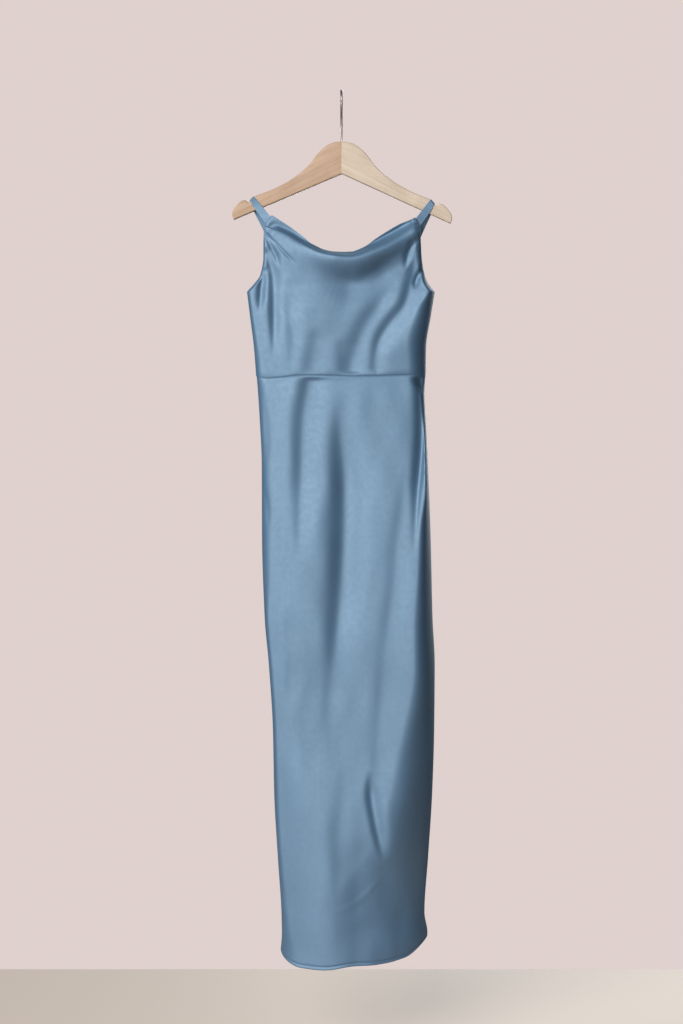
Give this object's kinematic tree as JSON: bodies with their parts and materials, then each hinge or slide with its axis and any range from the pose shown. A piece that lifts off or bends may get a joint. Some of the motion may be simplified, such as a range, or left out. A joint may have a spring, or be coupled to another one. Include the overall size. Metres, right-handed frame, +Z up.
{
  "type": "satin dress on a wooden hanger",
  "caption": "Floor-length sleeveless satin dress with a draped cowl neck and thin straps, hung from the notches of a wooden coat hanger with a wire hook.",
  "frame": {"origin": "the inside of the hook's top, where a rail, a peg or a ledge carries the hanger", "axes": "+Z up, the dress's front faces -Y, +X is on the right seen from the front"},
  "size_m": [0.356, 0.1424, 1.3991],
  "materials": {
    "satin": "dusty blue satin, glossy, with soft creases",
    "wood_left": "pale lacquered wood, slightly warm",
    "wood_right": "pale lacquered wood, slightly grey",
    "wire": "bright plated wire"
  },
  "bodies": {
    "root": {"bodice_front": "satin", "bodice_back": "satin", "skirt_front": "satin", "skirt_back": "satin", "strap_left": "satin", "strap_right": "satin", "hanger_left": "wood_left", "hanger_right": "wood_right", "hook": "wire"}
  },
  "joints": []
}
